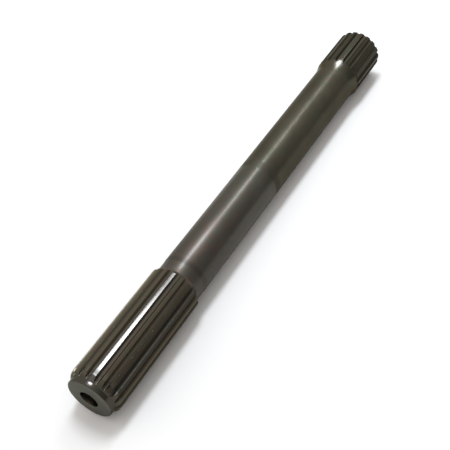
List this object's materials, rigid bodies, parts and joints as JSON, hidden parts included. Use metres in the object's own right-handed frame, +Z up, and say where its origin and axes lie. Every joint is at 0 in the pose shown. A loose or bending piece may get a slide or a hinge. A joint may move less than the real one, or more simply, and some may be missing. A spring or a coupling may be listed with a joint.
{
  "type": "splined machine shaft",
  "caption": "Long plain steel shaft with a toothed spline on each end and a blind hole in the centre of one end face.",
  "frame": {"origin": "centre of the near end face, at the mouth of its hole, on the shaft's axis", "axes": "+X along the axis from the near face to the far face; +Z up as the shaft lies on two teeth of each spline, with a tooth space at the very top and bottom"},
  "size_m": [0.51, 0.0494, 0.0492],
  "materials": {
    "dark_machined_steel": "dark warm grey machined steel with a thin film of oil, satin along the bar and duller in the tooth spaces"
  },
  "bodies": {
    "root": {"splined_shaft": "dark_machined_steel"}
  },
  "joints": []
}
